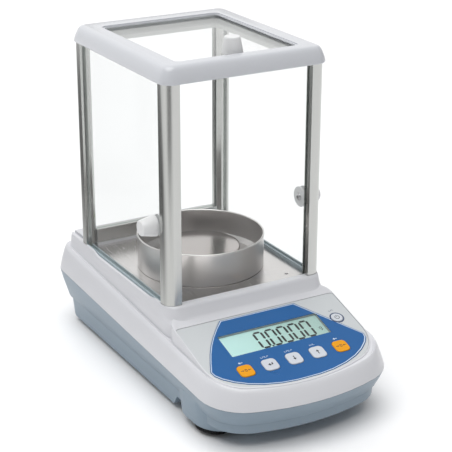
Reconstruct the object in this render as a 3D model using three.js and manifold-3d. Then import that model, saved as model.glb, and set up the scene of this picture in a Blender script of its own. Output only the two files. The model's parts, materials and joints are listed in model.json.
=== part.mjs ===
// Analytical balance with a glass draft shield: base, weighing chamber, pan, keypad, feet.
// Millimetres, +Z up, front of the balance towards -Y, origin under the middle of the base.
import * as THREE from 'three';
import Module from 'manifold-3d';

const wasm = await Module();
wasm.setup();

// ---------------------------------------------------------------- sizes
const GAP = 0.3;                 // clearance between neighbouring pieces
const HALF_W = 96.5;             // half width of the base at its parting line
const FRONT = -186;              // front and rear ends of the base
const REAR = 186;
const PLATFORM_Z = 100;          // lip of the weighing platform above the table
const STAGE_Z = 95.6;            // top of the steel plate sunk into the platform
const PLATE = 1.2;               // thickness of that plate
const WALL = 3;                  // wall of the moulded housings

const POST_X = 77.2;             // middle of the front posts
const POST_Y = -46;
const POST_SIZE = 15;
const REAR_POST_X = 78.2;
const REAR_POST_Y = 134.8;
const REAR_POST_SIZE = 13;
const POST_FOOT_Z = 91.6;
const POST_TOP_Z = 312.6;

const GLASS = 3;                 // pane thickness
const SLOT = 3.6;                // groove a pane runs in
const DOOR_X = 80.2;             // plane of the side doors
const PANE_BOTTOM_Z = 97.2;
const PANE_TOP_Z = 315.5;

const CAP_HALF_W = 87.4;          // moulded cap over the chamber
const CAP_FRONT = -56.4;
const CAP_REAR = 144.5;
const CAP_BOTTOM_Z = 312.9;
const CAP_TOP_Z = 328.6;
const TOP_PANE_Z = 322.9;

const PAN_Y = 37.5;              // centre of pan and draft ring
const PAN_R = 40;
const RING_R = 63.6;

const PANEL_TILT = THREE.MathUtils.degToRad(16.4);
const PANEL_Y = -106.2;          // middle of the display window
const PANEL_Z = 75.3;

// ---------------------------------------------------------------- finishes
const paint = (color, roughness, metalness = 0, opacity = 1) => {
  const material = new THREE.MeshStandardMaterial({ color, roughness, metalness });
  if (opacity < 1) {
    material.transparent = true;
    material.opacity = opacity;
  }
  return material;
};
const finishes = {
  shell: paint(0xdcdde1, 0.38),
  base: paint(0x8b9daa, 0.45),
  cap: paint(0xd9dbe0, 0.3),
  frame: paint(0x9a9f9e, 0.5),
  track: paint(0x8f9ca3, 0.5),
  knob: paint(0xdfe1e4, 0.4),
  overlay: paint(0xbcc3c8, 0.5),
  label: paint(0x2d619f, 0.45),
  orange: paint(0xf2a31a, 0.5),
  keyGrey: paint(0xc9ced3, 0.5),
  lcd: paint(0xa9d4cc, 0.4),
  rubber: paint(0x1c1d1f, 0.85),
  dark: paint(0x2a2c2f, 0.6),
  board: paint(0x1f5a3a, 0.6),
  steel: paint(0xb8b6b6, 0.3, 1),
  aluminium: paint(0xb3b5b0, 0.35, 1),
  screw: paint(0x9b9c9e, 0.3, 1),
  glass: paint(0xe8f1f0, 0.05, 0, 0.25),
};

// ---------------------------------------------------------------- solids
function solidFrom(points, triangles) {
  let volume = 0;
  for (const [a, b, c] of triangles) {
    const [p, q, r] = [points[a], points[b], points[c]];
    volume += p[0] * (q[1] * r[2] - q[2] * r[1])
      - p[1] * (q[0] * r[2] - q[2] * r[0])
      + p[2] * (q[0] * r[1] - q[1] * r[0]);
  }
  const outward = volume > 0 ? triangles : triangles.map(([a, b, c]) => [a, c, b]);
  return new wasm.Manifold(new wasm.Mesh({
    numProp: 3,
    vertProperties: new Float32Array(points.flat()),
    triVerts: new Uint32Array(outward.flat()),
  }));
}

function fromGeometry(geometry) {
  const position = geometry.getAttribute('position');
  const index = geometry.getIndex();
  const count = index ? index.count : position.count;
  const seen = new Map();
  const points = [];
  const corners = [];
  for (let i = 0; i < count; i += 1) {
    const k = index ? index.getX(i) : i;
    const p = [position.getX(k), position.getY(k), position.getZ(k)];
    const key = p.map((v) => Math.round(v * 1e4)).join();
    if (!seen.has(key)) {
      seen.set(key, points.length);
      points.push(p);
    }
    corners.push(seen.get(key));
  }
  const triangles = [];
  for (let i = 0; i < corners.length; i += 3) {
    const [a, b, c] = corners.slice(i, i + 3);
    if (a !== b && b !== c && a !== c) triangles.push([a, b, c]);
  }
  return solidFrom(points, triangles);
}

// Skin over a stack of rings that all have the same number of points.
function loft(rings) {
  const n = rings[0].length;
  const points = rings.flat();
  const triangles = [];
  for (let r = 0; r + 1 < rings.length; r += 1) {
    for (let i = 0; i < n; i += 1) {
      const j = (i + 1) % n;
      const a = r * n + i;
      const b = r * n + j;
      const c = a + n;
      const d = b + n;
      triangles.push([a, b, d], [a, d, c]);
    }
  }
  for (const [ring, flip] of [[0, true], [rings.length - 1, false]]) {
    const middle = [0, 1, 2].map((k) => rings[ring].reduce((s, p) => s + p[k], 0) / n);
    points.push(middle);
    for (let i = 0; i < n; i += 1) {
      const a = ring * n + i;
      const b = ring * n + ((i + 1) % n);
      triangles.push(flip ? [b, a, points.length - 1] : [a, b, points.length - 1]);
    }
  }
  return solidFrom(points, triangles);
}

function box(x0, x1, y0, y1, z0, z1) {
  const geometry = new THREE.BoxGeometry(x1 - x0, y1 - y0, z1 - z0);
  geometry.translate((x0 + x1) / 2, (y0 + y1) / 2, (z0 + z1) / 2);
  return fromGeometry(geometry);
}

function cylinder(x, y, z0, z1, radius, segments = 32, topRadius = radius) {
  const geometry = new THREE.CylinderGeometry(topRadius, radius, z1 - z0, segments);
  geometry.rotateX(Math.PI / 2);
  geometry.translate(x, y, (z0 + z1) / 2);
  return fromGeometry(geometry);
}

// Profile points are [radius, height]; the axis is vertical through (x, y).
function turned(profile, x, y, segments = 48) {
  const points = profile.map(([r, z]) => new THREE.Vector2(r, z));
  const geometry = new THREE.LatheGeometry(points, segments);
  geometry.rotateX(Math.PI / 2);
  geometry.translate(x, y, 0);
  return fromGeometry(geometry);
}

function extruded(outline, z0, z1) {
  const shape = new THREE.Shape(outline.map(([x, y]) => new THREE.Vector2(x, y)));
  const geometry = new THREE.ExtrudeGeometry(shape, { depth: z1 - z0, bevelEnabled: false });
  geometry.translate(0, 0, z0);
  return fromGeometry(geometry);
}

// Outline points are [y, z]; the solid runs along X.
function acrossX(outline, x0, x1) {
  const section = (x) => outline.map(([y, z]) => [x, y, z]);
  return loft([section(x0), section(x1)]);
}

const cut = (solid, ...tools) => tools.reduce((s, t) => s.subtract(t), solid);
const join = (...solids) => solids.reduce((s, t) => s.add(t));

const group = new THREE.Group();
group.name = 'analytical_balance';

function put(name, solid, finish, matrix = null) {
  const mesh = solid.getMesh();
  const points = new Float32Array((mesh.vertProperties.length / mesh.numProp) * 3);
  for (let i = 0; i < points.length / 3; i += 1) {
    for (let k = 0; k < 3; k += 1) points[3 * i + k] = mesh.vertProperties[i * mesh.numProp + k];
  }
  const geometry = new THREE.BufferGeometry();
  geometry.setAttribute('position', new THREE.BufferAttribute(points, 3));
  geometry.setIndex(new THREE.BufferAttribute(new Uint32Array(mesh.triVerts), 1));
  if (matrix) geometry.applyMatrix4(matrix);
  geometry.computeVertexNormals();
  const piece = new THREE.Mesh(geometry, finish);
  piece.name = name;
  group.add(piece);
}

// ---------------------------------------------------------------- outlines
// Right half of a base outline, front middle to rear middle: bowed front edge,
// round front corner, straight side, round rear corner.  Mirrored to close.
function footprint({ half, front, rear, bow = 216, corner = 44, rearCorner = 16 }) {
  const right = [];
  const bowY = front + bow;
  const cx = half - corner;
  const reach = bow - corner;
  const cy = bowY - Math.sqrt(reach * reach - cx * cx);
  const tangent = Math.atan2(cx, bowY - cy);
  for (let i = 0; i <= 4; i += 1) {
    const a = (tangent * i) / 4;
    right.push([bow * Math.sin(a), bowY - bow * Math.cos(a)]);
  }
  for (let i = 1; i <= 7; i += 1) {
    const a = tangent + ((Math.PI / 2 - tangent) * i) / 7;
    right.push([cx + corner * Math.sin(a), cy - corner * Math.cos(a)]);
  }
  for (let i = 1; i <= 7; i += 1) {
    right.push([half, cy + ((rear - rearCorner - cy) * i) / 7]);
  }
  for (let i = 1; i <= 4; i += 1) {
    const a = (Math.PI / 2) * (i / 4);
    const x = half - rearCorner + rearCorner * Math.cos(a);
    right.push([x, rear - rearCorner + rearCorner * Math.sin(a)]);
  }
  right.push([0, rear]);
  const left = right.slice(1, -1).reverse().map(([x, y]) => [-x, y]);
  return right.concat(left);
}

function roundedRect(x0, x1, y0, y1, radius, steps = 5) {
  const outline = [];
  const corners = [[x1, y1, 0], [x0, y1, 1], [x0, y0, 2], [x1, y0, 3]];
  for (const [x, y, quarter] of corners) {
    const cx = x === x1 ? x - radius : x + radius;
    const cy = y === y1 ? y - radius : y + radius;
    for (let i = 0; i <= steps; i += 1) {
      const a = (Math.PI / 2) * (quarter + i / steps);
      outline.push([cx + radius * Math.cos(a), cy + radius * Math.sin(a)]);
    }
  }
  return outline;
}

const ringAt = (outline, height) => outline.map(([x, y]) => [x, y, height(x, y)]);
const level = (z) => () => z;

// Height of the parting line between the two housings, and of the upper rim.
const partingZ = (x, y) => 51 + 0.043 * y;
const RIM = [[-186, 57.5], [-176, 59.5], [-160, 62.3], [-144, 65], [-120, 67.8], [-51, 72.2], [34, 78],
  [167, 86.5], [188, 87.5]];
function rimZ(x, y) {
  let i = 0;
  while (i < RIM.length - 2 && y > RIM[i + 1][0]) i += 1;
  const [[y0, z0], [y1, z1]] = [RIM[i], RIM[i + 1]];
  return z0 + ((z1 - z0) * (y - y0)) / (y1 - y0);
}
const panelZ = (drop) => (x, y) => PANEL_Z + (y - PANEL_Y) * Math.tan(PANEL_TILT) - drop;

// Outer contour of a corner post, quarter-round on the outside corner, grown by a clearance.
function postOutline(side, front, grow) {
  const [size, round, cx, cy] = front
    ? [POST_SIZE, 10, POST_X, POST_Y]
    : [REAR_POST_SIZE, 6, REAR_POST_X, REAR_POST_Y];
  const h = size / 2 + grow;
  const back = front ? 1 : -1;
  const outline = [];
  for (let i = 0; i <= 6; i += 1) {
    const a = (Math.PI / 2) * (i / 6);
    const r = round + grow;
    outline.push([h - r + r * Math.cos(a), -back * (h - r + r * Math.sin(a))]);
  }
  outline.push([-h, -back * h], [-h, back * h], [h, back * h]);
  return outline.map(([x, y]) => [side * (cx + x), cy + y]);
}

// ---------------------------------------------------------------- lower housing
function lowerSkin(inset, bottom, topLift) {
  const layer = (cut0, height) => ringAt(footprint({
    half: HALF_W - cut0 - inset,
    front: FRONT + cut0 + inset,
    rear: REAR - 0.9 * cut0 - inset,
    corner: 44 - 0.7 * cut0 - inset,
  }), height);
  const upper = (t) => (x, y) => 28.5 + t * (partingZ(x, y) - 28.5);
  return loft([
    layer(11, level(bottom)),
    layer(9.4, level(26)),
    layer(7.0, level(28.5)),
    layer(2.4, upper(0.6)),
    layer(0, (x, y) => partingZ(x, y) + topLift),
  ]);
}

const FOOT_X = 68;
const FOOT_Y = -115;
const FOOT_R = 20.5;
const WHEEL_TOP_Z = 9;
const APRON_Y = -64;             // the skirt stops here and the front apron is higher
const APRON_Z = 17;
const GUARD_X = 60;              // rounded guard that hangs over each levelling wheel
const GUARD_R = 31;
const REAR_FOOT_X = 62;
const REAR_FOOT_Y = 146;
const FLOOR_Z = 6;
const BOSSES = [[68, -142], [52, 156]];   // pillars where the two housings are screwed together
const BOSS_JOINT_Z = [46.4, 52.4];
const BOSS_TOP_Z = [61.4, 92];
const PORT_Z = 27;

function wheelGuard(side) {
  const ring = (radius, z) => {
    const outline = [];
    for (let i = 0; i < 40; i += 1) {
      const a = (Math.PI * 2 * i) / 40;
      const middle = Math.sin(a) > 0 ? -99 : -113;
      outline.push([side * GUARD_X + radius * Math.cos(a), middle + radius * Math.sin(a)]);
    }
    return ringAt(outline, level(z));
  };
  return loft([
    ring(GUARD_R - 1, WHEEL_TOP_Z), ring(GUARD_R, WHEEL_TOP_Z + 1), ring(GUARD_R + 1.2, 20),
    ring(GUARD_R + 2.4, 30), ring(GUARD_R + 2.6, 38),
  ]);
}

function lowerHousing() {
  const ramp = [[-200, APRON_Z], [APRON_Y - 9, APRON_Z], [APRON_Y, FLOOR_Z - 1], [-200, FLOOR_Z - 1]];
  const skirt = cut(lowerSkin(0, FLOOR_Z, -GAP / 2), acrossX(ramp, -100, 100));
  const outer = join(skirt, wheelGuard(-1), wheelGuard(1));
  let hollow = lowerSkin(WALL, FLOOR_Z + WALL, 4);
  for (const side of [-1, 1]) {
    hollow = cut(hollow, cylinder(side * FOOT_X, FOOT_Y, 0, 21, FOOT_R + 4, 32));
    hollow = cut(hollow, cylinder(side * FOOT_X, FOOT_Y, 10, 33, 8, 24));
    for (const y of [-4, 104]) hollow = cut(hollow, cylinder(side * 26, y, 0, 21.7, 5, 20));
    BOSSES.forEach(([x, y], i) => {
      hollow = cut(hollow, cylinder(side * x, y, 0, BOSS_JOINT_Z[i], 4, 20));
    });
    for (const y of [-112, -64]) hollow = cut(hollow, cylinder(side * 40, y, 0, 29.7, 4, 16));
  }
  // raised floor behind the front apron, and a thick rear wall that carries the sockets
  hollow = cut(hollow, box(-100, 100, -200, APRON_Y + WALL, 0, APRON_Z + WALL));
  hollow = cut(hollow, box(-66, 66, 168, 200, 0, 46));
  let body = cut(outer, hollow);
  body = cut(body, box(-58, 58, 176, 200, 13, 43));
  body = cut(body, box(22, 54, 150, 200, PORT_Z - 6.6, PORT_Z + 6.6));
  const jack = new THREE.CylinderGeometry(6.1, 6.1, 40, 28);
  jack.translate(-38, 168, PORT_Z);
  body = cut(body, fromGeometry(jack));
  for (const side of [-1, 1]) {
    body = cut(body, cylinder(side * FOOT_X, FOOT_Y, -5, WHEEL_TOP_Z + 0.6, FOOT_R + 1.5, 32));
    body = cut(body, cylinder(side * FOOT_X, FOOT_Y, 5, 31, 4.4, 16));
    body = cut(body, cylinder(side * REAR_FOOT_X, REAR_FOOT_Y, 0, 7.3, 14.4, 32));
  }
  // cooling slits in the floor
  for (let i = -3; i <= 3; i += 1) {
    body = cut(body, box(i * 9 - 1.8, i * 9 + 1.8, -40, -14, 0, 12));
  }
  return body;
}
put('lower_housing', lowerHousing(), finishes.base);

// ---------------------------------------------------------------- upper housing
const PANEL_HALF = 86.6;         // seat of the overlay
const PANEL_FRONT = -167.6;
const PANEL_REAR = -71.4;

function panelOutline(inset) {
  return footprint({
    half: PANEL_HALF - inset,
    front: PANEL_FRONT + inset,
    rear: PANEL_REAR - inset,
    bow: 208,
    corner: 36.5 - inset,
    rearCorner: Math.max(3 - inset, 0.6),
  });
}

function bandSkin() {
  const layer = (side, ends, corner, height) => ringAt(footprint({
    half: HALF_W - side,
    front: FRONT + ends,
    rear: REAR - ends,
    corner,
    rearCorner: 16 - side,
  }), height);
  const mix = (t) => (x, y) => partingZ(x, y) + 0.15 + (rimZ(x, y) - partingZ(x, y)) * t;
  return loft([
    layer(0, 0, 44, mix(0)),
    layer(1.8, 3.0, 43, mix(0.4)),
    layer(4.4, 6.6, 41.3, mix(0.8)),
    layer(6.0, 8.6, 39.8, mix(0.955)),
    layer(7.0, 10.0, 39, mix(1)),
    layer(8.1, 13.5, 37.6, (x, y) => Math.min(rimZ(x, y) - 0.6, panelZ(0.4)(x, y))),
  ]);
}

function platformSkin(inset, layers) {
  return loft(layers.map(([half, front, rear, corner, z]) => ringAt(footprint({
    half: half - inset,
    front: front + inset,
    rear: rear - inset,
    bow: 4000,
    corner: corner - inset,
    rearCorner: 10 - inset * 0.7,
  }), level(z))));
}

function upperHousing() {
  const band = bandSkin();
  const platform = platformSkin(0, [
    [87.4, -70.6, 174.5, 20, 63],
    [87.2, -70.4, 174.2, 20, 84.6],
    [86.8, -67.5, 173.8, 18, 86.3],
    [86.4, -64.2, 173.6, 16, 87.6],
    [86.1, -61.8, 173.4, 14.5, 90],
    [85.6, -58.0, 173.0, 12.5, 97.4],
    [85.2, -56.6, 172.6, 12, 99.3],
    [84.4, -55.4, 171.8, 11.5, PLATFORM_Z],
  ]);
  const deckOutline = (inset) => footprint({
    half: 88 - inset,
    front: -169.4 + inset,
    rear: -54,
    bow: 208,
    corner: 37.6 - inset,
    rearCorner: 16,
  });
  const deck = loft([
    ringAt(deckOutline(-0.2), level(50)),
    ringAt(deckOutline(0), panelZ(0.9)),
    ringAt(deckOutline(0.3), panelZ(0.25)),
    ringAt(deckOutline(0.9), panelZ(0)),
  ]);
  const outer = join(band, platform, deck);

  // hollow inside
  const hollowBand = loft([
    ringAt(footprint({ half: HALF_W - WALL, front: FRONT + WALL, rear: REAR - WALL, corner: 40 }),
      (x, y) => partingZ(x, y) - 2),
    ringAt(footprint({ half: HALF_W - WALL - 1.5, front: FRONT + WALL + 2.5, rear: REAR - WALL - 2.5,
      corner: 39 }), (x, y) => partingZ(x, y) + (rimZ(x, y) - partingZ(x, y)) * 0.4),
    ringAt(footprint({ half: HALF_W - WALL - 8, front: FRONT + WALL + 13, rear: REAR - WALL - 10,
      corner: 36 }), (x, y) => Math.min(rimZ(x, y) - 4.5, panelZ(5)(x, y))),
  ]);
  const hollowSides = platformSkin(0, [[84, -58, 170.5, 14, 45], [83, -52, 170, 10, 89.8]]);
  const hollowMiddle = platformSkin(0, [[73, -38, 126, 8, 45], [73, -38, 126, 8, STAGE_Z - 4.6]]);
  const hollowDeck = loft([
    ringAt(footprint({ half: 84.5, front: -166, rear: -55, bow: 208, corner: 34 }), level(40)),
    ringAt(footprint({ half: 84.5, front: -166, rear: -55, bow: 208, corner: 34 }), panelZ(4.2)),
  ]);
  const bosses = [];
  for (const side of [-1, 1]) {
    BOSSES.forEach(([x, y], i) => {
      bosses.push(cylinder(side * x, y, BOSS_JOINT_Z[i] + GAP, BOSS_TOP_Z[i], 4, 20));
    });
  }
  let body = cut(outer, hollowBand, hollowSides, hollowMiddle, hollowDeck);

  // seats for the posts, the tracks, the front pane and the stage plate
  for (const side of [-1, 1]) {
    body = cut(body, extruded(postOutline(side, true, GAP), POST_FOOT_Z - GAP, 110));
    body = cut(body, extruded(postOutline(side, false, GAP), POST_FOOT_Z - GAP, 110));
    const [t0, t1] = [Math.min(side * 76.8, side * 83.9), Math.max(side * 76.8, side * 83.9)];
    body = cut(body, box(t0, t1, -38.6, 128.4, 94.6, 110));
    const g = side * DOOR_X;
    body = cut(body, box(g - SLOT / 2, g + SLOT / 2, 130, 190, PANE_BOTTOM_Z - 0.4, 110));
    // long scoop beside the door track, with ramped ends
    const section = (y, inner, low) => [
      [side * 83.5, y, 101], [side * 92, y, 101], [side * 92, y, low], [side * 83.5, y, inner],
    ];
    body = cut(body, loft([
      section(-29, 100.2, 99.9), section(-22, 98.6, 95.4), section(-16, 97.6, 92.6),
      section(98, 97.6, 92.6), section(104, 98.6, 95.4), section(111, 100.2, 99.9),
    ]));
  }
  body = cut(body, box(-73, 73, POST_Y - SLOT / 2, POST_Y + SLOT / 2, PANE_BOTTOM_Z - 0.4, 110));
  body = cut(body, box(-76.9, 76.9, -44.4, 129.7, STAGE_Z - PLATE - GAP, 110));
  body = cut(body, cylinder(0, PAN_Y, 80, 110, 12, 40));
  body = cut(body, cylinder(0, 156, 93.2, 110, 11.3, 36));
  body = cut(body, box(-72, 72, 130 - GAP, 139.6 + GAP, 98.4, 110));

  // seat of the overlay, display opening and key holes
  body = cut(body, loft([
    ringAt(panelOutline(-GAP), panelZ(1.4)),
    ringAt(panelOutline(-GAP), panelZ(-8)),
  ]));
  body = cut(body, onPanel(extruded(roundedRect(-54.4, 54.4, -15.1, 15.1, 1, 2), -12, 8)));
  for (const key of KEYS) {
    const r = key.size / 2 + 0.4;
    const hole = key.round
      ? cylinder(key.u, key.v, -12, 8, r, 28)
      : extruded(roundedRect(key.u - r, key.u + r, key.v - r, key.v + r, key.corner + 0.4), -12, 8);
    body = cut(body, onPanel(hole));
  }
  return join(body, ...bosses);
}

// ---------------------------------------------------------------- control panel
function onPanel(solid) {
  const mesh = solid.getMesh();
  const s = Math.sin(PANEL_TILT);
  const c = Math.cos(PANEL_TILT);
  const points = [];
  for (let i = 0; i < mesh.vertProperties.length; i += mesh.numProp) {
    const [u, v, w] = mesh.vertProperties.slice(i, i + 3);
    points.push([u, PANEL_Y + v * c - w * s, PANEL_Z + v * s + w * c]);
  }
  const triangles = [];
  for (let i = 0; i < mesh.triVerts.length; i += 3) {
    triangles.push(Array.from(mesh.triVerts.slice(i, i + 3)));
  }
  return solidFrom(points, triangles);
}

const KEY_ROW_V = -35.5;
const KEY_PITCH = 25.7;
const KEY_SIZE = 15;
const KEY_CORNER = 4.2;
const KEYS = [
  { name: 'key_tare_left', u: -2 * KEY_PITCH, finish: finishes.orange },
  { name: 'key_enter', u: -KEY_PITCH, finish: finishes.keyGrey },
  { name: 'key_down', u: 0, finish: finishes.keyGrey },
  { name: 'key_up', u: KEY_PITCH, finish: finishes.keyGrey },
  { name: 'key_tare_right', u: 2 * KEY_PITCH, finish: finishes.orange },
].map((key) => ({ ...key, v: KEY_ROW_V, size: KEY_SIZE, corner: KEY_CORNER, round: false }));
KEYS.push({ name: 'key_power', u: 70.5, v: 1.5, size: 11.6, round: true, finish: finishes.keyGrey });

put('upper_housing', upperHousing(), finishes.shell);

// Printed field of the keypad: straight right flank, slightly bowed left flank.
function labelOutline(grow) {
  const outline = [];
  const half = 83 + grow;
  const top = 34.2 + grow;
  outline.push([-41 - grow, top], [41 + grow, top], [half, -26.5 + grow * 0.3]);
  const nose = [[82, -32.5], [77.5, -38.5], [69, -45.5], [58, -51.8], [44, -57], [28, -60.6], [12, -62.2]];
  for (const [u, v] of nose) outline.push([u + grow * (u / 83), v - grow]);
  for (const [u, v] of nose.slice().reverse()) outline.push([-u - grow * (u / 83), v - grow]);
  outline.push([-half, -26.5 + grow * 0.3]);
  const flank = 6;
  for (let i = 1; i < flank; i += 1) {
    const t = i / flank;
    const swell = 4 * Math.sin(Math.PI * t);
    const u = -83 + 42 * t - swell * 0.83;
    const v = -26.5 + 60.7 * t + swell * 0.56;
    outline.push([u - grow, v + grow * 0.4]);
  }
  return outline.reverse();
}

const keyCutters = () => KEYS.map((key) => {
  const r = key.size / 2 + 0.35;
  if (key.round) return cylinder(key.u, key.v, -9, 9, r, 28);
  return extruded(roundedRect(key.u - r, key.u + r, key.v - r, key.v + r, key.corner + 0.35), -9, 9);
});

function controlOverlay() {
  const sheet = loft([
    ringAt(panelOutline(0), panelZ(1.1)),
    ringAt(panelOutline(0), panelZ(0.35)),
  ]);
  const window = onPanel(extruded(labelOutline(GAP), -9, 9));
  return cut(sheet, window, ...keyCutters().slice(-1).map(onPanel));
}
put('control_overlay', controlOverlay(), finishes.overlay);

function keypadLabel() {
  const sheet = extruded(labelOutline(0), -1.05, -0.25);
  const window = extruded(roundedRect(-54.1, 54.1, -14.8, 14.8, 0.8, 2), -9, 9);
  return onPanel(cut(sheet, window, ...keyCutters()));
}
put('keypad_label', keypadLabel(), finishes.label);
put('lcd_window', onPanel(extruded(roundedRect(-53.8, 53.8, -14.5, 14.5, 0.6, 2), -1.0, -0.4)),
  finishes.glass);
put('lcd_module', onPanel(join(
  box(-58, 58, -18, 18, -10.5, -4.6),
  box(-53.6, 53.6, -14.3, 14.3, -5, -2.6),
)), finishes.lcd);

for (const key of KEYS) {
  const r = key.size / 2;
  const layer = (half, w) => {
    const corner = key.round ? half - 0.01 : key.corner * (half / r);
    const steps = key.round ? 7 : 5;
    return ringAt(roundedRect(key.u - half, key.u + half, key.v - half, key.v + half, corner, steps),
      level(w));
  };
  put(key.name, onPanel(loft([
    layer(r + 1, -5.8), layer(r + 1, -4.9), layer(r, -4.9), layer(r, 0.1), layer(r - 0.7, 0.55),
  ])), key.finish);
}
put('keypad_board', onPanel(extruded([
  [-62, -47], [62, -47], [62, -29], [81, -25], [81, 10], [62, 10], [62, -20.5], [-62, -20.5],
], -8.9, -7.4)), finishes.board);

// ---------------------------------------------------------------- stage and chamber
put('stage_plate', cut(
  box(-76.5, 76.5, -44.1, 129.4, STAGE_Z - PLATE, STAGE_Z),
  cylinder(0, PAN_Y, 90, 110, 10.5, 40),
  cylinder(60, -30, 90, 110, 1.7, 12),
  box(-90, -REAR_POST_X + REAR_POST_SIZE / 2 + GAP, 128, 140, 90, 110),
  box(REAR_POST_X - REAR_POST_SIZE / 2 - GAP, 90, 128, 140, 90, 110),
  box(-90, -POST_X + POST_SIZE / 2 + GAP, -60, POST_Y + POST_SIZE / 2 + GAP, 90, 110),
  box(POST_X - POST_SIZE / 2 - GAP, 90, -60, POST_Y + POST_SIZE / 2 + GAP, 90, 110),
), finishes.steel);

for (const [side, name] of [[-1, 'left'], [1, 'right']]) {
  const g = side * DOOR_X;
  const [t0, t1] = [Math.min(side * 77.1, side * 83.6), Math.max(side * 77.1, side * 83.6)];
  put(`${name}_door_track`, cut(
    box(t0, t1, -38.2, 128.0, 94.9, 99.4),
    box(g - SLOT / 2, g + SLOT / 2, -50, 140, PANE_BOTTOM_Z - 0.4, 110),
  ), finishes.track);
}

// Front post: quarter-round outside, bevelled inside, a groove for each pane.
function frontPost(side) {
  const h = POST_SIZE / 2;
  const round = 10;
  const outline = [];
  for (let i = 0; i <= 8; i += 1) {
    const a = Math.PI + (Math.PI / 2) * (i / 8);
    outline.push([-h + round + round * Math.cos(a), -h + round + round * Math.sin(a)]);
  }
  const groove = SLOT / 2;
  const door = -(DOOR_X - POST_X);
  outline.push([h, -h], [h, -groove], [h - 3.4, -groove], [h - 3.4, groove], [h, groove],
    [h, h - 5], [h - 5, h], [door + groove, h], [door + groove, h - 3.4],
    [door - groove, h - 3.4], [door - groove, h], [-h, h]);
  const placed = outline.map(([x, y]) => [-side * x + side * POST_X, y + POST_Y]);
  return extruded(side < 0 ? placed.reverse() : placed, POST_FOOT_Z, POST_TOP_Z);
}

function rearPost(side) {
  const h = REAR_POST_SIZE / 2;
  const round = 6;
  const outline = [[-h, -h], [h - 4, -h], [h, -h + 4]];
  outline.push([h, -SLOT / 2], [h - 3.2, -SLOT / 2], [h - 3.2, SLOT / 2], [h, SLOT / 2], [h, h]);
  for (let i = 0; i <= 6; i += 1) {
    const a = Math.PI / 2 + (Math.PI / 2) * (i / 6);
    outline.push([-h + round + round * Math.cos(a), h - round + round * Math.sin(a)]);
  }
  const placed = outline.map(([x, y]) => [-side * x + side * REAR_POST_X, y + REAR_POST_Y]);
  const bar = extruded(side < 0 ? placed : placed.reverse(), POST_FOOT_Z, POST_TOP_Z);
  const g = side * DOOR_X;
  return cut(bar, box(g - SLOT / 2, g + SLOT / 2, 120, 150, PANE_BOTTOM_Z - 0.4, 330));
}

for (const [side, name] of [[-1, 'left'], [1, 'right']]) {
  put(`post_front_${name}`, frontPost(side), finishes.aluminium);
  put(`post_rear_${name}`, rearPost(side), finishes.aluminium);
}

const BACK_PANE_Y = REAR_POST_Y;
put('front_glass', box(-72.5, 72.5, POST_Y - GLASS / 2, POST_Y + GLASS / 2,
  PANE_BOTTOM_Z, PANE_TOP_Z), finishes.glass);
put('rear_glass', box(-74.3, 74.3, BACK_PANE_Y - GLASS / 2, BACK_PANE_Y + GLASS / 2,
  113.4, PANE_TOP_Z), finishes.glass);
put('rear_rail', box(-71.3, 71.3, 130, 139.6, 98.7, 113.1), finishes.aluminium);

// ---------------------------------------------------------------- top frame and cap
const FRAME_TOP_Z = 322.5;
function topFrame() {
  const ring = extruded(roundedRect(-83.4, 83.4, -52.2, 140.9, 9), CAP_BOTTOM_Z, FRAME_TOP_Z);
  let body = cut(ring, extruded(roundedRect(-65.5, 65.5, -37.5, 120, 3, 3), 300, 340));
  const top = PANE_TOP_Z + 0.5;
  body = cut(body, box(-73, 73, POST_Y - SLOT / 2, POST_Y + SLOT / 2, 300, top));
  body = cut(body, box(-74.8, 74.8, BACK_PANE_Y - SLOT / 2, BACK_PANE_Y + SLOT / 2, 300, top));
  for (const side of [-1, 1]) {
    const g = side * DOOR_X;
    body = cut(body, box(g - SLOT / 2, g + SLOT / 2, -42.4, 160, 300, top));
  }
  return body;
}
put('top_frame', topFrame(), finishes.frame);

function topCap() {
  const layer = (inset, z, radius) => ringAt(roundedRect(-CAP_HALF_W + inset, CAP_HALF_W - inset,
    CAP_FRONT + inset, CAP_REAR - inset, radius, 6), level(z));
  let body = loft([
    layer(0.5, CAP_BOTTOM_Z, 12), layer(0, CAP_BOTTOM_Z + 0.8, 12.4), layer(0.5, 316.6, 12),
    layer(1.7, 320.6, 11.4), layer(3.2, 324.2, 10.4), layer(4.6, 326.4, 9), layer(6.2, 327.8, 7.6),
    layer(8.4, CAP_TOP_Z, 6),
  ]);
  body = cut(body, extruded(roundedRect(-83.7, 83.7, -52.5, 141.2, 9.3), 300, FRAME_TOP_Z + GAP));
  body = cut(body, box(-74.6, 74.6, -45, 150, FRAME_TOP_Z, 326.3));
  body = cut(body, extruded(roundedRect(-63.5, 63.5, -35.4, 118, 5, 4), 300, 340));
  body = cut(body, extruded(roundedRect(-65.5, 65.5, -37.4, 120, 6, 4), CAP_TOP_Z - 0.9, 340));
  for (const side of [-1, 1]) {
    const g = side * DOOR_X;
    body = cut(body, box(g - SLOT / 2, g + SLOT / 2, 130, 160, 300, PANE_TOP_Z + 0.5));
  }
  return body;
}
put('top_cap', topCap(), finishes.cap);

// ---------------------------------------------------------------- doors
const KNOB_R = 10.3;
const KNOB_TIP_R = 7.2;
const KNOB_LENGTH = 16;
const SIDE_KNOB_Y = -24;
const SIDE_KNOB_Z = 172;
const TOP_KNOB_Y = -24.4;
const BORE_R = 2.3;

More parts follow.
